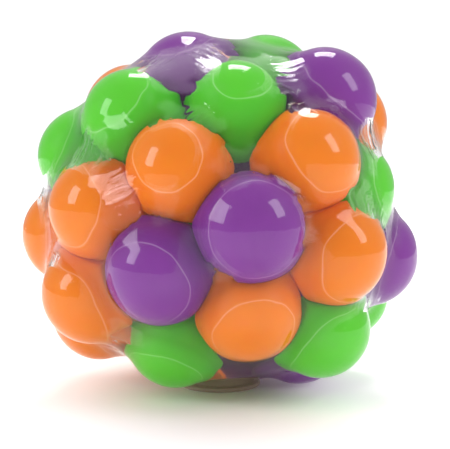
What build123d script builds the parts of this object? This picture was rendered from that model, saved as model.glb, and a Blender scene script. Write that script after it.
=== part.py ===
from build123d import *
import os
from math import cos, dist, hypot, radians, sin

os.makedirs("parts", exist_ok=True)

# ---------------------------------------------------------------------------
# Driving dimensions, millimetres.  A hand-sized squeeze toy: soft coloured balls
# packed in one clear, stretched rubber skin that is closed by a plug underneath.
# ---------------------------------------------------------------------------
BALL_DIAMETER = {"purple": 15.8, "orange": 15.3, "green": 14.7}
BALL_GAP = 0.5           # free space kept between two neighbouring balls
SKIN_WALL = 0.9          # thickness of the stretched skin
SKIN_GAP = 0.2           # free space between a ball and the skin over it, under half BALL_GAP
WEB_RADIUS = 29.6        # the skin in the valleys between the bumps lies on this sphere
FLOOR_RISE = 0.4         # the lowest bump hangs this far above the floor
LEAN = 6.0               # degrees that the packed cluster leans towards the front

NECK_CENTRE = (0.0, 1.0)  # filling neck, from the middle of the cluster
NECK_RADIUS = 7.7         # outside of the neck
NECK_BORE = 5.6          # radius of the hole the toy was filled through
NECK_TOP = 5.6           # height of the ledge the plug's head grips
PLUG_GLUE = 0.05         # glue film round the plug
PLUG_FOOT_HEIGHT = 0.8   # disc under the neck, as wide as the neck, that meets the floor
PLUG_HEAD_RADIUS = 6.6   # head inside the skin, so the plug cannot be pulled out
PLUG_HEAD_HEIGHT = 1.2
PLUG_EDGE = 0.3          # rounded edges of the plug

# Seats of the balls about the middle of the cluster, in whole millimetres
# (right, back, up) before it leans.  The first purple seat is the crown that a palm presses.
SEATS = {
    "purple": [
        (-6, 1, 24), (19, -6, 22), (5, -27, 3), (-10, -24, -5), (28, -2, -8),
        (15, -2, -23), (9, 13, -20), (15, 21, -6), (3, 26, 2), (-20, 16, 4), (-12, 6, 2),
    ],
    "green": [
        (8, 6, 24), (-15, -11, 19), (-25, -2, 11), (3, -13, 21), (23, -8, 6),
        (-8, -13, -21), (18, -16, -18), (24, 9, -19), (25, 11, 1), (14, 20, 11),
        (-10, 22, 11), (-13, 23, -4), (-2, -6, 0),
    ],
    "orange": [
        (23, 8, 16), (-7, -21, 12), (15, -19, 13), (-21, -16, 4), (-28, -1, -4),
        (20, -20, -3), (-23, -14, -12), (-23, 0, -19), (5, -23, -12), (2, 19, 20),
        (-17, 10, 17), (-22, 12, -9), (-10, 12, -20), (-1, 23, -13), (9, 6, -3),
    ],
}
SETTLE_ROUNDS = 400      # small pushes given to the balls until none overlap
NECK_BALL_GAP = 0.3      # least free space between the neck's inside and the balls round it
NECK_ZONE = -15.0        # balls lower than this have to stay clear of the neck


def settle(balls):
    """Push overlapping balls apart, and the low ones off the neck, until all lie free."""
    for _ in range(SETTLE_ROUNDS):
        for i, first in enumerate(balls):
            for second in balls[i + 1:]:
                apart = dist(first["at"], second["at"])
                lack = first["radius"] + second["radius"] + BALL_GAP - apart
                if lack > 0:
                    for axis in range(3):
                        push = (first["at"][axis] - second["at"][axis]) / apart * lack / 2
                        first["at"][axis] += push
                        second["at"][axis] -= push
            across = first["at"][0] - NECK_CENTRE[0]
            along = first["at"][1] - NECK_CENTRE[1]
            away = hypot(across, along)
            lack = PLUG_HEAD_RADIUS + SKIN_GAP + NECK_BALL_GAP + first["radius"] - away
            if first["at"][2] < NECK_ZONE and lack > 0:
                first["at"][0] += across / away * lack
                first["at"][1] += along / away * lack


balls = []
lean = radians(LEAN)
for colour, seats in SEATS.items():
    for number, (right, back, up) in enumerate(seats, start=1):
        balls.append({
            "name": f"{colour}_ball_{number}",
            "radius": BALL_DIAMETER[colour] / 2,
            "at": [right, back * cos(lean) - up * sin(lean), back * sin(lean) + up * cos(lean)],
        })
settle(balls)

# Bring the cluster into the part's frame: middle of the bumps over the origin,
# floor plane at z = 0, just under the lowest bump.
bump_reach = SKIN_GAP + SKIN_WALL
lows = [min(ball["at"][axis] - ball["radius"] for ball in balls) for axis in range(3)]
highs = [max(ball["at"][axis] + ball["radius"] for ball in balls) for axis in range(3)]
web_centre = (
    -(lows[0] + highs[0]) / 2,
    -(lows[1] + highs[1]) / 2,
    bump_reach - lows[2] + FLOOR_RISE,
)
for ball in balls:
    ball["at"] = [seat + shift for seat, shift in zip(ball["at"], web_centre)]
neck_x = NECK_CENTRE[0] + web_centre[0]
neck_y = NECK_CENTRE[1] + web_centre[1]

# Balls in the heart of the cluster never reach the skin; all others raise a bump.
# Each bump is modelled about its own axis, which points straight out of the cluster.
bumps = [ball for ball in balls if dist(ball["at"], web_centre) > WEB_RADIUS / 2]
for bump in bumps:
    outward = Vector(*bump["at"]) - Vector(*web_centre)
    bump["plane"] = Plane(origin=bump["at"], z_dir=outward)

# ---------------------------------------------------------------------------
# Coloured balls, one solid each
# ---------------------------------------------------------------------------
for entry in balls:
    with BuildPart() as ball:
        with Locations(tuple(entry["at"])):
            Sphere(radius=entry["radius"])
    ball.part.label = entry["name"]
    export_step(ball.part, f"parts/{entry['name']}.step")

# ---------------------------------------------------------------------------
# Room inside the skin: a sphere joined to a slightly larger sphere round each outer
# ball, with the bore of the neck and the seat for the plug's head
# ---------------------------------------------------------------------------
on_floor = (Align.CENTER, Align.CENTER, Align.MIN)
with BuildPart() as room:
    with Locations(web_centre):
        Sphere(radius=WEB_RADIUS - SKIN_WALL)
    for entry in bumps:
        with Locations(entry["plane"]):
            Sphere(radius=entry["radius"] + SKIN_GAP)
    with Locations((neck_x, neck_y, NECK_TOP)):
        Cylinder(PLUG_HEAD_RADIUS + SKIN_GAP, 2 * PLUG_HEAD_HEIGHT, align=on_floor)
    with Locations((neck_x, neck_y, -NECK_TOP)):
        Cylinder(NECK_BORE, 2 * NECK_TOP + PLUG_HEAD_HEIGHT, align=on_floor)

# ---------------------------------------------------------------------------
# Clear skin: the same shape one wall larger, hollowed, with the neck under it
# ---------------------------------------------------------------------------
with BuildPart() as skin:
    with Locations(web_centre):
        Sphere(radius=WEB_RADIUS)
    for entry in bumps:
        with Locations(entry["plane"]):
            Sphere(radius=entry["radius"] + bump_reach)
    with Locations((neck_x, neck_y, PLUG_FOOT_HEIGHT + PLUG_GLUE)):
        Cylinder(NECK_RADIUS, NECK_TOP + PLUG_HEAD_HEIGHT, align=on_floor)
    add(room.part, mode=Mode.SUBTRACT)
skin.part.label = "clear_skin"
export_step(skin.part, "parts/clear_skin.step")

# ---------------------------------------------------------------------------
# Plug glued into the neck; its flat foot is the face the toy rests on
# ---------------------------------------------------------------------------
with BuildPart() as plug:
    with Locations((neck_x, neck_y, 0)):
        Cylinder(NECK_RADIUS, PLUG_FOOT_HEIGHT, align=on_floor)
        Cylinder(NECK_BORE - PLUG_GLUE, NECK_TOP + PLUG_GLUE, align=on_floor)
    with Locations((neck_x, neck_y, NECK_TOP + PLUG_GLUE)):
        Cylinder(PLUG_HEAD_RADIUS, PLUG_HEAD_HEIGHT, align=on_floor)
    fillet(plug.faces().sort_by(Axis.Z)[-1].edges(), PLUG_EDGE)
    fillet(plug.faces().sort_by(Axis.Z)[0].edges(), PLUG_EDGE)
plug.part.label = "filling_plug"
export_step(plug.part, "parts/filling_plug.step")
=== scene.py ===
import math

import bpy
import numpy as np
from mathutils import Matrix, Vector, noise
from mathutils.bvhtree import BVHTree


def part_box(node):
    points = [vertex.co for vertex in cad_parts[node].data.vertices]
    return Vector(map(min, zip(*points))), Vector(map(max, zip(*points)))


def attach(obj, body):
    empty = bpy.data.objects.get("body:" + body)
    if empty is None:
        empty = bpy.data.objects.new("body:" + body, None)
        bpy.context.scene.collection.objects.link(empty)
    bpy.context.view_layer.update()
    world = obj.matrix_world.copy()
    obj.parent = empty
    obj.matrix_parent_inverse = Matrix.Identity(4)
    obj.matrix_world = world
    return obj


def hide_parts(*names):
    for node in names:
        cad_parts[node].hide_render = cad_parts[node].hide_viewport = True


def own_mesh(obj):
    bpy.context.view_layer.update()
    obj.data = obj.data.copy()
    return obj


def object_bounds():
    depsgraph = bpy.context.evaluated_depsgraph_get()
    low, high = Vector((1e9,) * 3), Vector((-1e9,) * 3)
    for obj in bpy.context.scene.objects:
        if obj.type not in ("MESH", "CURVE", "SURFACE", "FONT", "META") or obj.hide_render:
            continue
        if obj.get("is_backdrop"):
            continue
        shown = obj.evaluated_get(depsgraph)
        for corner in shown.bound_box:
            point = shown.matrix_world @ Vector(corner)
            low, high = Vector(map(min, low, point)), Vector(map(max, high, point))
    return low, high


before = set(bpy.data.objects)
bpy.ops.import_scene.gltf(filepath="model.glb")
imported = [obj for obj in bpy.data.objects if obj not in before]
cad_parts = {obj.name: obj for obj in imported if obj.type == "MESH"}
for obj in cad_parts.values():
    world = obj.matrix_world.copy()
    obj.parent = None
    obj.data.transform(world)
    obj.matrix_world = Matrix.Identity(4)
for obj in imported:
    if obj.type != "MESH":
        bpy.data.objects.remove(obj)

bl_info = {
    "name": "Stress ball",
    "version": (1, 0, 0),
    "blender": (4, 5, 0),
    "location": "View3D > Sidebar > Stress ball",
    "description": "Builds a squeeze toy of soft coloured balls packed in a clear stretched skin",
    "category": "Object",
}

MM = 0.001
FOLD_PITCH = 1.4  # millimetres between two folds at a pinch
HALF_PACK = 33 * MM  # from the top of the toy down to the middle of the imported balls
RUBBER_IOR = 1.42  # clear rubber against air
WET_IOR = 1.07  # clear rubber against liquid
CONTACT_EDGE = -0.12  # millimetres: wavering clearance at which the skin leaves a ball
NECK_HOLE = 5.65 * MM  # radius of the hole in the skin, just wider than the plug's stem
NECK_TOP = 3 * MM  # only skin that lies lower than this belongs to the neck
NECK_RIM = 6.8 * MM  # radius of the flat place around the neck
NECK_FLOOR = 0.85 * MM  # height of the skin's outer side there, just above the plug's foot
NECK_LENGTH = 8 * MM  # how far the flat place's helper cylinder reaches up between the balls
VALLEY_CORE = 31 * MM  # radius of the helper that stops the skin from falling between the balls
FIRST_SKIN = 44 * MM  # radius of the sphere that the skin is shrunk from
BURIED_FROM = 0.04  # in ball radii below a ball's own middle: where its inner half starts to swell
BURIED_OVER = 0.6  # in ball radii: how much deeper it is fully swollen
PRESS_ROUNDS = 2  # how often a ball is pressed against all its neighbours
PRESS_REACH = 1.6  # in sums of both radii: balls further apart than this don't press on each other
PRESS_GAP = 0.01 * MM  # left free on each side where two balls meet
PINCH_GAP = 3 * MM  # widest gap between two balls that the skin is pinched across
PINCH_CHANGE = 900.0  # noise waves per metre: how much one pinch differs from the next
PINCH_CONTRAST = 2.2  # strengthens that noise, so that some pinches fold fully and others not at all
FREE_HEIGHT = 0.6 * MM  # height over a ball from which the skin folds fully
RAGS_PER_METRE = 330.0  # how closely the rags on the rim of an air pocket follow each other
RAG_DEPTH = 0.5  # in pocket radii: how far the rags reach
POCKET_RIM = 0.92  # in pocket radii: where air starts to give way to liquid
POCKET_BLUR = 0.16  # in pocket radii: over how much it does
PACK_LEAN = math.radians(6)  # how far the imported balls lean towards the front
# Millimetres, before the lean: middle and radius of the places where air, not liquid, lies under the skin
AIR_POCKETS = [
    ((3, -30, 48), 5), ((-6, -25, 54), 6), ((-33, -5, 38), 7), ((-23, -18, 47), 5), ((29, -9, 48), 7),
    ((24, -19, 39), 4), ((-6, -10, 61), 8), ((9, -13, 60), 6), ((27, -12, 16), 6), ((-18, -22, 14), 5),
    ((-10, -31, 41), 4), ((20, 25, 50), 9), ((-24, 20, 44), 9), ((2, 32, 22), 8), ((30, 16, 20), 7),
    ((18, -21, 55), 6), ((-17, -26, 40), 4), ((0, -33, 30), 3), ((13, -30, 38), 4), ((-31, -14, 26), 5),
]
BALL_NODES = sorted(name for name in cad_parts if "_ball_" in name)
LAMP_DISTANCE = 1.2  # metres
COLOURS = {
    "green": (0.095, 0.53, 0.022, 1.0),
    "orange": (0.74, 0.2, 0.003, 1.0),
    "purple": (0.2, 0.033, 0.28, 1.0),
}


# ---------------------------------------------------------------------------
# Settings
# ---------------------------------------------------------------------------
class StressBallSettings(bpy.types.PropertyGroup):
    skin_wall: bpy.props.FloatProperty(
        name="Skin wall", description="Thickness of the stretched skin",
        default=0.9 * MM, unit="LENGTH", subtype="DISTANCE",
    )
    ball_growth: bpy.props.FloatProperty(
        name="Ball growth", description="How far each soft ball swells to meet the skin",
        default=0.25 * MM, unit="LENGTH", subtype="DISTANCE",
    )
    skin_bite: bpy.props.FloatProperty(
        name="Skin bite", description="How deep the skin beds into a ball that it clings to",
        default=0.04 * MM, unit="LENGTH", subtype="DISTANCE",
    )
    tension_rounds: bpy.props.IntProperty(
        name="Tension rounds", description="How often the skin is pulled tight over the balls",
        default=28, min=1,
    )
    squeezed: bpy.props.FloatProperty(
        name="Squeezed height", description="Share of its height that the toy keeps in a full squeeze",
        default=0.756, min=0.1, max=1.0, subtype="FACTOR",
    )
    camera_distance: bpy.props.FloatProperty(
        name="Camera distance", description="From the middle of the toy to the camera",
        default=235 * MM, unit="LENGTH", subtype="DISTANCE",
    )
    camera_elevation: bpy.props.FloatProperty(
        name="Camera elevation", description="Height of the camera above the horizon",
        default=math.radians(6), unit="ROTATION", subtype="ANGLE",
    )
    spread: bpy.props.FloatProperty(
        name="Spread", description="How much wider than high a packed ball lies under the skin",
        default=1.04, min=1.0, max=1.3, subtype="FACTOR",
    )
    buried_growth: bpy.props.FloatProperty(
        name="Buried growth", description="How much the inner half of a ball swells into the gaps",
        default=0.24, min=0.0, max=0.5, subtype="FACTOR",
    )
    lump_height: bpy.props.FloatProperty(
        name="Lump height", description="Height of the shallow lumps on each soft ball",
        default=0.09 * MM, unit="LENGTH", subtype="DISTANCE",
    )
    lumps_per_metre: bpy.props.FloatProperty(
        name="Lumps per metre", description="How closely the lumps follow each other",
        default=190.0,
    )
    fold_reach: bpy.props.FloatProperty(
        name="Fold reach", description="How far the folds run out from the middle of a pinch",
        default=3.2 * MM, unit="LENGTH", subtype="DISTANCE",
    )


# ---------------------------------------------------------------------------
# Helpers
# ---------------------------------------------------------------------------
def only(obj):
    """Makes obj the one selected and active object."""
    bpy.ops.object.select_all(action="DESELECT")
    obj.select_set(True)
    bpy.context.view_layer.objects.active = obj


def settle_transform(obj):
    """Bakes an object's place, turn and scale into its mesh."""
    only(obj)
    bpy.ops.object.transform_apply(location=True, rotation=True, scale=True)


def ball_seats():
    """Name to (centre, radius) of every ball, in metres."""
    seats = {}
    for name in BALL_NODES:
        low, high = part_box(name)
        seats[name] = ((low + high) / 2, (high.z - low.z) / 2)
    return seats


def cluster_middle():
    """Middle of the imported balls; the plug's foot hangs lowest and is left out."""
    low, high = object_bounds()
    return Vector(((low.x + high.x) / 2, (low.y + high.y) / 2, high.z - HALF_PACK))


def read_points(obj):
    """The points of a mesh as rows of x, y, z."""
    points = np.empty(len(obj.data.vertices) * 3)
    obj.data.vertices.foreach_get("co", points)
    return points.reshape(-1, 3)


def write_points(obj, points):
    """Moves the points of a mesh to the rows of x, y, z."""
    obj.data.vertices.foreach_set("co", points.ravel())
    obj.data.update()


def air_share(points):
    """1 where a point lies in a ragged pocket of air under the skin, 0 where liquid wets it."""
    ragged = np.array([noise.noise(Vector(point) * RAGS_PER_METRE) for point in points])
    depth = np.full(len(points), np.inf)
    lean = Matrix.Rotation(PACK_LEAN, 3, "X")
    middle = Vector((0, 0, HALF_PACK / MM))
    for place, radius in AIR_POCKETS:
        leaned = middle + lean @ (Vector(place) - middle)
        away = np.linalg.norm(points - np.array(leaned) * MM, axis=1) / (radius * MM)
        depth = np.minimum(depth, away + RAG_DEPTH * ragged)
    return 1 - np.clip((depth - POCKET_RIM) / POCKET_BLUR, 0, 1)


def smooth(obj):
    """Shades an object smooth."""
    only(obj)
    bpy.ops.object.shade_smooth()


def principled(name):
    """A new material and its Principled shader."""
    material = bpy.data.materials.new(name)
    material.use_nodes = True
    return material, material.node_tree.nodes["Principled BSDF"]


# ---------------------------------------------------------------------------
# Materials
# ---------------------------------------------------------------------------
def rubber_grain_group():
    """Uneven cast rubber: a mottling mask and a height, from the place on the piece."""
    group = bpy.data.node_groups.new("rubber_grain", "ShaderNodeTree")
    for name, default in (("Mottle Scale", 120.0), ("Speck Scale", 500.0), ("Speck Amount", 0.5)):
        socket = group.interface.new_socket(name, in_out="INPUT", socket_type="NodeSocketFloat")
        socket.default_value = default
    group.interface.new_socket("Mottle", in_out="OUTPUT", socket_type="NodeSocketFloat")
    group.interface.new_socket("Height", in_out="OUTPUT", socket_type="NodeSocketFloat")
    nodes, links = group.nodes, group.links
    given = nodes.new("NodeGroupInput")
    out = nodes.new("NodeGroupOutput")
    place = nodes.new("ShaderNodeTexCoord")
    mottle = nodes.new("ShaderNodeTexNoise")
    mottle.inputs["Detail"].default_value = 4.0
    speck = nodes.new("ShaderNodeTexVoronoi")
    spread = nodes.new("ShaderNodeMapRange")
    spread.inputs["From Min"].default_value = 0.0
    spread.inputs["From Max"].default_value = 0.12
    spread.inputs["To Min"].default_value = 1.0
    spread.inputs["To Max"].default_value = 0.0
    amount = nodes.new("ShaderNodeMath")
    amount.operation = "MULTIPLY"
    total = nodes.new("ShaderNodeMath")
    total.operation = "ADD"
    links.new(place.outputs["Object"], mottle.inputs["Vector"])
    links.new(place.outputs["Object"], speck.inputs["Vector"])
    links.new(given.outputs["Mottle Scale"], mottle.inputs["Scale"])
    links.new(given.outputs["Speck Scale"], speck.inputs["Scale"])
    links.new(speck.outputs["Distance"], spread.inputs["Value"])
    links.new(spread.outputs["Result"], amount.inputs[0])
    links.new(given.outputs["Speck Amount"], amount.inputs[1])
    links.new(amount.outputs[0], total.inputs[0])
    links.new(mottle.outputs["Fac"], total.inputs[1])
    links.new(mottle.outputs["Fac"], out.inputs["Mottle"])
    links.new(total.outputs[0], out.inputs["Height"])
    return group


def place_group(material, group, **values):
    """Puts a node group into a material with its own input values."""
    node = material.node_tree.nodes.new("ShaderNodeGroup")
    node.node_tree = group
    for name, value in values.items():
        node.inputs[name.replace("_", " ")].default_value = value
    return node


def folded_height(material, grain):
    """Height of the skin: its grain, and the folds that its attributes lay across each pinch."""
    nodes, links = material.node_tree.nodes, material.node_tree.links
    across = nodes.new("ShaderNodeAttribute")
    across.attribute_name = "fold_across"
    strength = nodes.new("ShaderNodeAttribute")
    strength.attribute_name = "fold_strength"
    bend = nodes.new("ShaderNodeMath")
    bend.operation = "MULTIPLY"
    bend.inputs[1].default_value = 14.0
    turn = nodes.new("ShaderNodeMath")
    turn.operation = "MULTIPLY_ADD"
    turn.inputs[1].default_value = 2 * math.pi / FOLD_PITCH
    wave = nodes.new("ShaderNodeMath")
    wave.operation = "SINE"
    fold = nodes.new("ShaderNodeMath")
    fold.operation = "MULTIPLY"
    depth = nodes.new("ShaderNodeMath")
    depth.operation = "MULTIPLY"
    depth.inputs[1].default_value = 0.4
    total = nodes.new("ShaderNodeMath")
    total.operation = "ADD"
    links.new(grain.outputs["Mottle"], bend.inputs[0])
    links.new(across.outputs["Fac"], turn.inputs[0])
    links.new(bend.outputs[0], turn.inputs[2])
    links.new(turn.outputs[0], wave.inputs[0])
    links.new(wave.outputs[0], fold.inputs[0])
    links.new(strength.outputs["Fac"], fold.inputs[1])
    links.new(fold.outputs[0], depth.inputs[0])
    links.new(depth.outputs[0], total.inputs[0])
    links.new(grain.outputs["Height"], total.inputs[1])
    return total.outputs[0]


def skin_material(grain_group):
    """Clear, glossy, slightly uneven rubber that lamps shine straight through."""
    material, shader = principled("clear_stretched_skin")
    nodes, links = material.node_tree.nodes, material.node_tree.links
    shader.inputs["Base Color"].default_value = (0.985, 0.98, 0.97, 1.0)
    shader.inputs["Transmission Weight"].default_value = 1.0
    shader.inputs["IOR"].default_value = RUBBER_IOR
    shader.inputs["Roughness"].default_value = 0.07
    grain = place_group(material, grain_group, Mottle_Scale=150.0, Speck_Scale=420.0, Speck_Amount=0.6)
    bump = nodes.new("ShaderNodeBump")
    bump.inputs["Strength"].default_value = 0.35
    bump.inputs["Distance"].default_value = 0.2 * MM
    links.new(folded_height(material, grain), bump.inputs["Height"])
    links.new(bump.outputs["Normal"], shader.inputs["Normal"])
    wetness = nodes.new("ShaderNodeAttribute")
    wetness.attribute_name = "wetness"
    bending = nodes.new("ShaderNodeMapRange")
    bending.inputs["To Min"].default_value = RUBBER_IOR
    bending.inputs["To Max"].default_value = WET_IOR
    links.new(wetness.outputs["Fac"], bending.inputs["Value"])
    links.new(bending.outputs["Result"], shader.inputs["IOR"])
    clear = nodes.new("ShaderNodeBsdfTransparent")
    ray = nodes.new("ShaderNodeLightPath")
    either = nodes.new("ShaderNodeMath")
    either.operation = "MAXIMUM"
    mix = nodes.new("ShaderNodeMixShader")
    links.new(ray.outputs["Is Shadow Ray"], either.inputs[0])
    links.new(ray.outputs["Is Diffuse Ray"], either.inputs[1])
    links.new(either.outputs[0], mix.inputs[0])
    links.new(shader.outputs["BSDF"], mix.inputs[1])
    links.new(clear.outputs["BSDF"], mix.inputs[2])
    links.new(mix.outputs[0], nodes["Material Output"].inputs["Surface"])
    return material


def wavering_clearance(material):
    """Distance from the skin in millimetres, made uneven so that the patches it touches look ragged."""
    nodes, links = material.node_tree.nodes, material.node_tree.links
    clearance = nodes.new("ShaderNodeAttribute")
    clearance.attribute_name = "clearance"
    place = nodes.new("ShaderNodeTexCoord")
    shape = nodes.new("ShaderNodeTexNoise")
    shape.inputs["Scale"].default_value = 160.0
    shape.inputs["Detail"].default_value = 1.0
    waver = nodes.new("ShaderNodeMath")
    waver.operation = "MULTIPLY_ADD"
    waver.inputs[1].default_value = -1.0
    links.new(place.outputs["Object"], shape.inputs["Vector"])
    links.new(shape.outputs["Fac"], waver.inputs[0])
    links.new(clearance.outputs["Fac"], waver.inputs[2])
    return waver.outputs[0]


def rubber_colour_and_painted_light(material, colour, grain):
    """The ball's colour: mottled, with painted shade, darker and more saturated, where the skin leaves it,
    and a painted highlight, a pale line, along that edge.
    """
    nodes, links = material.node_tree.nodes, material.node_tree.links
    tint = nodes.new("ShaderNodeMix")
    tint.data_type = "RGBA"
    tint.inputs["A"].default_value = tuple(0.9 * part for part in colour[:3]) + (1.0,)
    tint.inputs["B"].default_value = colour
    lifted = nodes.new("ShaderNodeMapRange")
    lifted.interpolation_type = "SMOOTHSTEP"
    lifted.inputs["From Min"].default_value = CONTACT_EDGE
    lifted.inputs["From Max"].default_value = 0.25
    # painted shade: darker, more saturated colour where the skin lifts off the ball, in the gaps between
    # balls
    deep = nodes.new("ShaderNodeMix")
    deep.data_type = "RGBA"
    deep.inputs["B"].default_value = tuple(0.95 * part ** 1.12 for part in colour[:3]) + (1.0,)
    # painted highlight: a pale line along the edge where the skin leaves the ball
    painted_edge_highlight = nodes.new("ShaderNodeMath")
    painted_edge_highlight.operation = "COMPARE"
    painted_edge_highlight.inputs[1].default_value = CONTACT_EDGE
    painted_edge_highlight.inputs[2].default_value = 0.05
    rim = nodes.new("ShaderNodeMath")
    rim.operation = "MULTIPLY"
    rim.inputs[1].default_value = 0.2
    pale = nodes.new("ShaderNodeMix")
    pale.data_type = "RGBA"
    pale.inputs["B"].default_value = tuple(0.6 + 0.4 * part for part in colour[:3]) + (1.0,)
    away = wavering_clearance(material)
    links.new(grain.outputs["Mottle"], tint.inputs["Factor"])
    links.new(away, lifted.inputs["Value"])
    links.new(away, painted_edge_highlight.inputs[0])
    links.new(painted_edge_highlight.outputs[0], rim.inputs[0])
    links.new(lifted.outputs["Result"], deep.inputs["Factor"])
    links.new(tint.outputs["Result"], deep.inputs["A"])
    links.new(deep.outputs["Result"], pale.inputs["A"])
    links.new(rim.outputs[0], pale.inputs["Factor"])
    return pale.outputs["Result"]


def rubber_material(name, colour, grain_group, roughness, softness):
    """Soft coloured rubber; its faint glow stands for light that the balls pass on to each other."""
    material, shader = principled(name)
    nodes, links = material.node_tree.nodes, material.node_tree.links
    grain = place_group(material, grain_group, Mottle_Scale=260.0, Speck_Scale=900.0, Speck_Amount=0.3)
    bump = nodes.new("ShaderNodeBump")
    bump.inputs["Strength"].default_value = 0.2
    bump.inputs["Distance"].default_value = 0.05 * MM
    links.new(rubber_colour_and_painted_light(material, colour, grain), shader.inputs["Base Color"])
    links.new(grain.outputs["Height"], bump.inputs["Height"])
    links.new(bump.outputs["Normal"], shader.inputs["Normal"])
    shader.inputs["Roughness"].default_value = roughness
    shader.inputs["Specular IOR Level"].default_value = 0.12
    shader.inputs["Subsurface Weight"].default_value = softness
    shader.inputs["Subsurface Radius"].default_value = tuple(0.3 + part for part in colour[:3])
    shader.inputs["Subsurface Scale"].default_value = 4 * MM
    shader.inputs["Emission Color"].default_value = tuple(part ** 1.4 for part in colour[:3]) + (1.0,)
    shader.inputs["Emission Strength"].default_value = 0.12
    return material


# ---------------------------------------------------------------------------
# Operators
# ---------------------------------------------------------------------------
class STRESSBALL_OT_balls(bpy.types.Operator):
    """Builds the soft coloured balls, each pressed flat where it meets its neighbours"""

    bl_idname = "stressball.balls"
    bl_label = "Coloured balls"

    def execute(self, context):
        settings = context.scene.stress_ball
        seats = ball_seats()
        grain = rubber_grain_group()
        materials = {
            colour: rubber_material(colour + "_soft_ball", value, grain, roughness=0.35, softness=0.6)
            for colour, value in COLOURS.items()
        }
        for name, (centre, radius) in seats.items():
            size = radius + settings.ball_growth
            bpy.ops.mesh.primitive_ico_sphere_add(subdivisions=6, radius=size, location=centre)
            ball = context.object
            ball.name = name + "_soft"
            settle_transform(ball)
            self.press(ball, name, centre, size, seats, settings)
            rounded = ball.modifiers.new("Rounded", "SMOOTH")
            rounded.factor = 0.5
            rounded.iterations = 25
            only(ball)
            bpy.ops.object.modifier_apply(modifier="Rounded")
            smooth(ball)
            ball.data.materials.append(materials[name.split("_")[0]])
            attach(ball, name)
            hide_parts(name)
            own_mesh(ball)
        return {"FINISHED"}

    def press(self, ball, name, centre, size, seats, settings):
        """Spreads a ball sideways under the skin and flattens it against its neighbours."""
        middle = cluster_middle()
        place = np.array(centre)
        out = np.array((centre - middle).normalized())
        points = read_points(ball) - place
        height = points @ out
        sideways = points - np.outer(height, out)
        buried = np.clip(-BURIED_FROM - height / size, 0, BURIED_OVER) / BURIED_OVER
        grown = 1 + settings.buried_growth * buried * buried * (3 - 2 * buried)
        points = (np.outer(height, out) + sideways * settings.spread) * grown[:, None]
        for _ in range(PRESS_ROUNDS):
            for other, (there, other_radius) in seats.items():
                way = there - centre
                if other == name or way.length > PRESS_REACH * (size + other_radius):
                    continue
                share = size / (size + other_radius + settings.ball_growth)
                normal = np.array(way.normalized())
                beyond = points @ normal - (way.length * share - PRESS_GAP)
                points -= np.outer(np.clip(beyond, 0, None), normal)
        outward = points / np.linalg.norm(points, axis=1)[:, None]
        points += place
        swell = np.array([noise.noise(Vector(point) * settings.lumps_per_metre) for point in points])
        points += outward * (swell * settings.lump_height)[:, None]
        write_points(ball, points)


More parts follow.
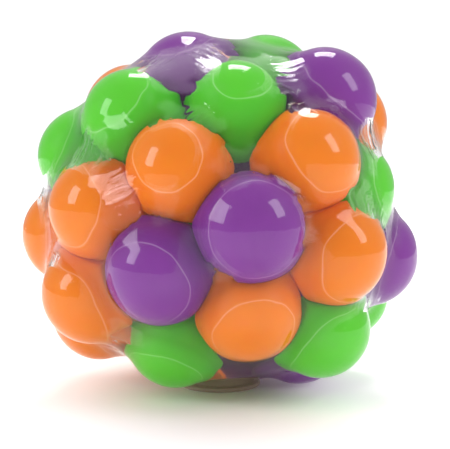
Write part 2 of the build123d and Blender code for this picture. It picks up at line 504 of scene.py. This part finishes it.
class STRESSBALL_OT_skin(bpy.types.Operator):
    """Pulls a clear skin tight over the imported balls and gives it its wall"""

    bl_idname = "stressball.skin"
    bl_label = "Clear skin"

    def execute(self, context):
        settings = context.scene.stress_ball
        seats = ball_seats()
        former = self.join_former(context, seats, settings)
        middle = cluster_middle()
        bpy.ops.mesh.primitive_ico_sphere_add(subdivisions=6, radius=VALLEY_CORE, location=middle)
        core = context.object
        core.name = "valley_core"
        bpy.ops.mesh.primitive_ico_sphere_add(subdivisions=7, radius=FIRST_SKIN, location=middle)
        skin = context.object
        skin.name = "stretched_skin"
        settle_transform(skin)
        fall = skin.modifiers.new("Fall", "SHRINKWRAP")
        fall.target = former
        fall.auxiliary_target = core
        fall.wrap_method = "PROJECT"
        fall.use_negative_direction = True
        fall.use_positive_direction = False
        only(skin)
        bpy.ops.object.modifier_apply(modifier="Fall")
        bpy.data.objects.remove(core)
        for _ in range(settings.tension_rounds):
            relax = skin.modifiers.new("Relax", "SMOOTH")
            relax.factor = 0.5
            relax.iterations = 10
            hold = skin.modifiers.new("Hold", "SHRINKWRAP")
            hold.target = former
            hold.wrap_method = "NEAREST_SURFACEPOINT"
            hold.wrap_mode = "OUTSIDE"
            only(skin)
            bpy.ops.object.modifier_apply(modifier="Relax")
            bpy.ops.object.modifier_apply(modifier="Hold")
        self.open_neck(skin)
        self.measure_clearance(context, skin)
        self.lay_folds(skin, seats, settings)
        wall = skin.modifiers.new("Wall", "SOLIDIFY")
        wall.thickness = settings.skin_wall
        wall.offset = 1.0
        only(skin)
        bpy.ops.object.modifier_apply(modifier="Wall")
        self.wet_inside(skin)
        smooth(skin)
        bpy.data.objects.remove(former)
        skin.data.materials.append(skin_material(bpy.data.node_groups["rubber_grain"]))
        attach(skin, "shell")
        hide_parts("clear_skin")
        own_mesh(skin)
        return {"FINISHED"}

    def open_neck(self, skin):
        """Cuts the round hole that the plug's stem passes through."""
        low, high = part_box("filling_plug")
        axis = np.array([(low.x + high.x) / 2, (low.y + high.y) / 2])
        points = read_points(skin)
        away = np.linalg.norm(points[:, :2] - axis, axis=1)
        inside = (away < NECK_HOLE) & (points[:, 2] < NECK_TOP)
        only(skin)
        bpy.ops.object.mode_set(mode="EDIT")
        bpy.ops.mesh.select_all(action="DESELECT")
        bpy.ops.object.mode_set(mode="OBJECT")
        skin.data.vertices.foreach_set("select", inside)
        bpy.ops.object.mode_set(mode="EDIT")
        bpy.ops.mesh.delete(type="VERT")
        bpy.ops.mesh.select_mode(type="VERT")
        bpy.ops.mesh.select_non_manifold()
        bpy.ops.object.mode_set(mode="OBJECT")
        for vertex in skin.data.vertices:
            if vertex.select:
                flat = np.array(vertex.co[:2]) - axis
                flat *= NECK_HOLE / np.linalg.norm(flat)
                vertex.co.x, vertex.co.y = axis + flat
        skin.data.update()

    def measure_clearance(self, context, skin):
        """Stores on every ball how far, in millimetres, each place lies from the skin."""
        tree = BVHTree.FromObject(skin, context.evaluated_depsgraph_get())
        for name in BALL_NODES:
            ball = bpy.data.objects[name + "_soft"]
            away = [tree.find_nearest(Vector(point))[3] / MM for point in read_points(ball)]
            layer = ball.data.attributes.new("clearance", "FLOAT", "POINT")
            layer.data.foreach_set("value", np.array(away, dtype=np.float32))

    def wet_inside(self, skin):
        """Stores where liquid, and not air, lies against the skin: on its inner side, outside the pockets."""
        middle = np.array(cluster_middle())
        points = read_points(skin)
        half = len(points) // 2
        reach = np.linalg.norm(points - middle, axis=1)
        inner = np.arange(len(points)) < half
        if reach[:half].mean() > reach[half:].mean():
            inner = ~inner
        wet = inner * (1 - air_share(points))
        layer = skin.data.attributes.new("wetness", "FLOAT", "POINT")
        layer.data.foreach_set("value", wet.astype(np.float32))

    def lay_folds(self, skin, seats, settings):
        """Stores where each pinch between two bumps lies and how strongly it is folded."""
        middle = np.array(cluster_middle())
        points = read_points(skin)
        count = len(points)
        places = [(np.array(centre), radius) for centre, radius in seats.values()]
        gap = np.min([np.linalg.norm(points - place, axis=1) - radius for place, radius in places], axis=0)
        air = air_share(points)
        best = np.zeros(count)
        across = np.zeros(count)
        for i, (first, first_radius) in enumerate(places):
            for second, second_radius in places[i + 1:]:
                along = second - first
                length = np.linalg.norm(along)
                if length > first_radius + second_radius + PINCH_GAP:
                    continue
                along /= length
                pinch = (first + second) / 2
                out = (pinch - middle) / np.linalg.norm(pinch - middle)
                side = np.cross(along, out)
                offset = points - pinch
                reach = np.square(offset @ along) + np.square(offset @ side)
                weight = np.exp(-reach / settings.fold_reach**2)
                weight *= np.maximum(noise.noise(Vector(pinch) * PINCH_CHANGE) * PINCH_CONTRAST, air)
                weight[offset @ out < 0] = 0
                better = weight > best
                across[better] = (offset @ side)[better] / MM
                best[better] = weight[better]
        free = np.clip((gap - settings.ball_growth) / FREE_HEIGHT, 0, 1)
        for name, values in (("fold_across", across), ("fold_strength", best * free)):
            layer = skin.data.attributes.new(name, "FLOAT", "POINT")
            layer.data.foreach_set("value", values.astype(np.float32))

    def join_former(self, context, seats, settings):
        """Copies of the balls, a bite smaller, joined into one helper shape for the skin."""
        formers = []
        for name, (centre, radius) in seats.items():
            only(bpy.data.objects[name + "_soft"])
            bpy.ops.object.duplicate(linked=False)
            item = context.object
            item.parent = None
            item.data.materials.clear()
            share = 1 - settings.skin_bite / radius
            write_points(item, (read_points(item) - np.array(centre)) * share + np.array(centre))
            formers.append(item)
        low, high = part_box("filling_plug")
        bottom = NECK_FLOOR + settings.skin_wall
        bpy.ops.mesh.primitive_cylinder_add(
            vertices=96, radius=NECK_RIM, depth=NECK_LENGTH,
            location=((low.x + high.x) / 2, (low.y + high.y) / 2, bottom + NECK_LENGTH / 2),
        )
        formers.append(context.object)
        bpy.ops.object.select_all(action="DESELECT")
        for item in formers:
            item.select_set(True)
        context.view_layer.objects.active = formers[0]
        bpy.ops.object.join()
        joined = context.object
        joined.name = "skin_former"
        for key in list(joined.keys()):
            del joined[key]
        settle_transform(joined)
        return joined


class STRESSBALL_OT_plug(bpy.types.Operator):
    """Turns the rubber plug that closes the filling neck: foot, stem and head"""

    bl_idname = "stressball.plug"
    bl_label = "Filling plug"

    def execute(self, context):
        low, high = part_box("filling_plug")
        foot = (high.x - low.x) / 2
        stem = 5.55 * MM
        head = 6.6 * MM
        foot_height = 0.8 * MM
        head_from = 5.65 * MM
        dimple_rim = 2.2 * MM
        dimple_depth = 0.5 * MM
        centre = Vector(((low.x + high.x) / 2, (low.y + high.y) / 2, 0))
        bpy.ops.mesh.primitive_cylinder_add(
            vertices=128, radius=foot, depth=foot_height,
            location=(centre.x, centre.y, foot_height / 2),
        )
        plug = context.object
        plug.name = "moulded_plug"
        settle_transform(plug)
        bpy.ops.object.mode_set(mode="EDIT")
        bpy.ops.mesh.select_mode(type="FACE")
        bpy.ops.mesh.select_all(action="DESELECT")
        bpy.ops.object.mode_set(mode="OBJECT")
        for face in plug.data.polygons:
            face.select = face.normal.z > 0.9
        bpy.ops.object.mode_set(mode="EDIT")
        bpy.ops.mesh.inset(thickness=foot - stem, depth=0)
        bpy.ops.mesh.extrude_region_move(TRANSFORM_OT_translate={"value": (0, 0, head_from - foot_height)})
        bpy.ops.mesh.extrude_region_move(TRANSFORM_OT_translate={"value": (0, 0, 0)})
        bpy.ops.transform.resize(value=(head / stem, head / stem, 1), center_override=centre)
        bpy.ops.mesh.extrude_region_move(TRANSFORM_OT_translate={"value": (0, 0, high.z - head_from)})
        bpy.ops.mesh.inset(thickness=dimple_rim, depth=-dimple_depth)
        bpy.ops.mesh.select_all(action="DESELECT")
        bpy.ops.object.mode_set(mode="OBJECT")
        edge = plug.modifiers.new("Edge", "BEVEL")
        edge.width = 0.28 * MM
        edge.segments = 4
        edge.angle_limit = math.radians(40)
        only(plug)
        bpy.ops.object.modifier_apply(modifier="Edge")
        bpy.ops.object.shade_smooth_by_angle(angle=math.radians(35))
        grain = bpy.data.node_groups["rubber_grain"]
        # painted shade: a dark brown plug that stands in for the shade under the toy
        plug_shade_colour = (0.3, 0.24, 0.19, 1.0)
        material = rubber_material("plug_rubber_painted_shade", plug_shade_colour, grain, roughness=0.3, softness=0.5)
        plug.data.materials.append(material)
        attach(plug, "shell")
        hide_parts("filling_plug")
        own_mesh(plug)
        return {"FINISHED"}


class STRESSBALL_OT_stage(bpy.types.Operator):
    """Sets the floor, the soft studio lamps and the camera"""

    bl_idname = "stressball.stage"
    bl_label = "Studio"

    def execute(self, context):
        self.lay_floor(context)
        self.light_surroundings(context.scene)
        aim = Vector((0, 0, 33 * MM))
        self.lamp("overhead_softbox", Vector((0.06, 0.46, 0.89)), aim, size=(0.5, 0.36), brightness=11.0)
        self.lamp("left_window", Vector((-0.82, -0.37, 0.43)), aim, size=(0.4, 0.7), brightness=5.2)
        self.lamp("right_window", Vector((0.75, -0.32, 0.57)), aim, size=(0.4, 0.7), brightness=4.7)
        self.place_camera(context.scene)
        return {"FINISHED"}

    def lay_floor(self, context):
        """A pale floor with a painted glow that brightens it away from the toy, outside its contact shadow,
        and washes out the side shadows.
        """
        bpy.ops.mesh.primitive_circle_add(vertices=128, radius=0.6, fill_type="NGON", location=(0, 0, 0))
        floor = context.object
        floor.name = "studio_floor"
        material, shader = principled("pale_floor")
        shader.inputs["Base Color"].default_value = (0.96, 0.96, 0.96, 1.0)
        shader.inputs["Roughness"].default_value = 0.8
        shader.inputs["Emission Color"].default_value = (1.0, 1.0, 1.0, 1.0)
        nodes, links = material.node_tree.nodes, material.node_tree.links
        place = nodes.new("ShaderNodeTexCoord")
        narrow = nodes.new("ShaderNodeVectorMath")
        narrow.operation = "MULTIPLY"
        narrow.inputs[1].default_value = (1.0, 0.6, 1.0)
        reach = nodes.new("ShaderNodeVectorMath")
        reach.operation = "LENGTH"
        # painted light: the floor's glow grows from none near the toy to full further out, sooner to the
        # sides than to the front and back
        bright = nodes.new("ShaderNodeMapRange")
        bright.interpolation_type = "SMOOTHSTEP"
        bright.inputs["From Min"].default_value = 6 * MM
        bright.inputs["From Max"].default_value = 36 * MM
        bright.inputs["To Max"].default_value = 0.42
        links.new(place.outputs["Object"], narrow.inputs[0])
        links.new(narrow.outputs["Vector"], reach.inputs[0])
        links.new(reach.outputs["Value"], bright.inputs["Value"])
        links.new(bright.outputs["Result"], shader.inputs["Emission Strength"])
        floor.data.materials.append(material)
        floor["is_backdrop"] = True

    def light_surroundings(self, scene):
        """Dim light from all around, in front of paper that looks bright, also through the skin."""
        world = bpy.data.worlds.new("studio")
        world.use_nodes = True
        nodes, links = world.node_tree.nodes, world.node_tree.links
        sky = nodes["Background"]
        sky.inputs["Color"].default_value = (1.0, 1.0, 1.0, 1.0)
        sky.inputs["Strength"].default_value = 0.6
        paper = nodes.new("ShaderNodeBackground")
        paper.inputs["Color"].default_value = (1.0, 1.0, 1.0, 1.0)
        paper.inputs["Strength"].default_value = 1.1
        ray = nodes.new("ShaderNodeLightPath")
        seen = nodes.new("ShaderNodeMath")
        seen.operation = "MAXIMUM"
        mix = nodes.new("ShaderNodeMixShader")
        links.new(ray.outputs["Is Camera Ray"], seen.inputs[0])
        links.new(ray.outputs["Is Transmission Ray"], seen.inputs[1])
        links.new(seen.outputs[0], mix.inputs[0])
        links.new(sky.outputs[0], mix.inputs[1])
        links.new(paper.outputs[0], mix.inputs[2])
        links.new(mix.outputs[0], nodes["World Output"].inputs["Surface"])
        scene.world = world
        scene.view_settings.view_transform = "Standard"

    def place_camera(self, scene):
        """Puts the camera in front of the toy and a little above it."""
        settings = scene.stress_ball
        middle = Vector((0, 0, 32.4 * MM))
        angle = settings.camera_elevation
        away = Vector((0, -math.cos(angle), math.sin(angle))) * settings.camera_distance
        data = bpy.data.cameras.new("camera")
        data.lens = 100.6
        data.sensor_width = 36.0
        data.shift_x = 0.011
        data.shift_y = -0.020
        data.clip_start = 0.01
        camera = bpy.data.objects.new("camera", data)
        camera.location = middle + away
        camera.rotation_euler = (math.pi / 2 - angle, 0, 0)
        scene.collection.objects.link(camera)
        scene.camera = camera

    def lamp(self, name, way, aim, size, brightness):
        """A softbox of that width and height, which stands in the direction way from aim and faces it."""
        width, height = size
        data = bpy.data.lights.new(name, "AREA")
        data.shape = "RECTANGLE"
        data.size = width
        data.size_y = height
        data.energy = brightness * math.pi * width * height
        lamp = bpy.data.objects.new(name, data)
        lamp.location = aim + way.normalized() * LAMP_DISTANCE
        lamp.rotation_euler = way.to_track_quat("Z", "Y").to_euler()
        bpy.context.scene.collection.objects.link(lamp)


class STRESSBALL_PT_panel(bpy.types.Panel):
    """Lists the pieces of the stress ball"""

    bl_idname = "STRESSBALL_PT_panel"
    bl_label = "Stress ball"
    bl_space_type = "VIEW_3D"
    bl_region_type = "UI"
    bl_category = "Stress ball"

    def draw(self, context):
        for operator in OPERATORS:
            self.layout.operator(operator.bl_idname)


OPERATORS = (STRESSBALL_OT_balls, STRESSBALL_OT_skin, STRESSBALL_OT_plug, STRESSBALL_OT_stage)
CLASSES = (StressBallSettings, *OPERATORS, STRESSBALL_PT_panel)


def register():
    for cls in CLASSES:
        bpy.utils.register_class(cls)
    bpy.types.Scene.stress_ball = bpy.props.PointerProperty(type=StressBallSettings)


def unregister():
    del bpy.types.Scene.stress_ball
    for cls in reversed(CLASSES):
        bpy.utils.unregister_class(cls)


def main():
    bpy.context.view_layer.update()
    register()
    bpy.ops.stressball.balls()
    bpy.ops.stressball.skin()
    bpy.ops.stressball.plug()
    bpy.ops.stressball.stage()


if __name__ == "__main__":
    main()
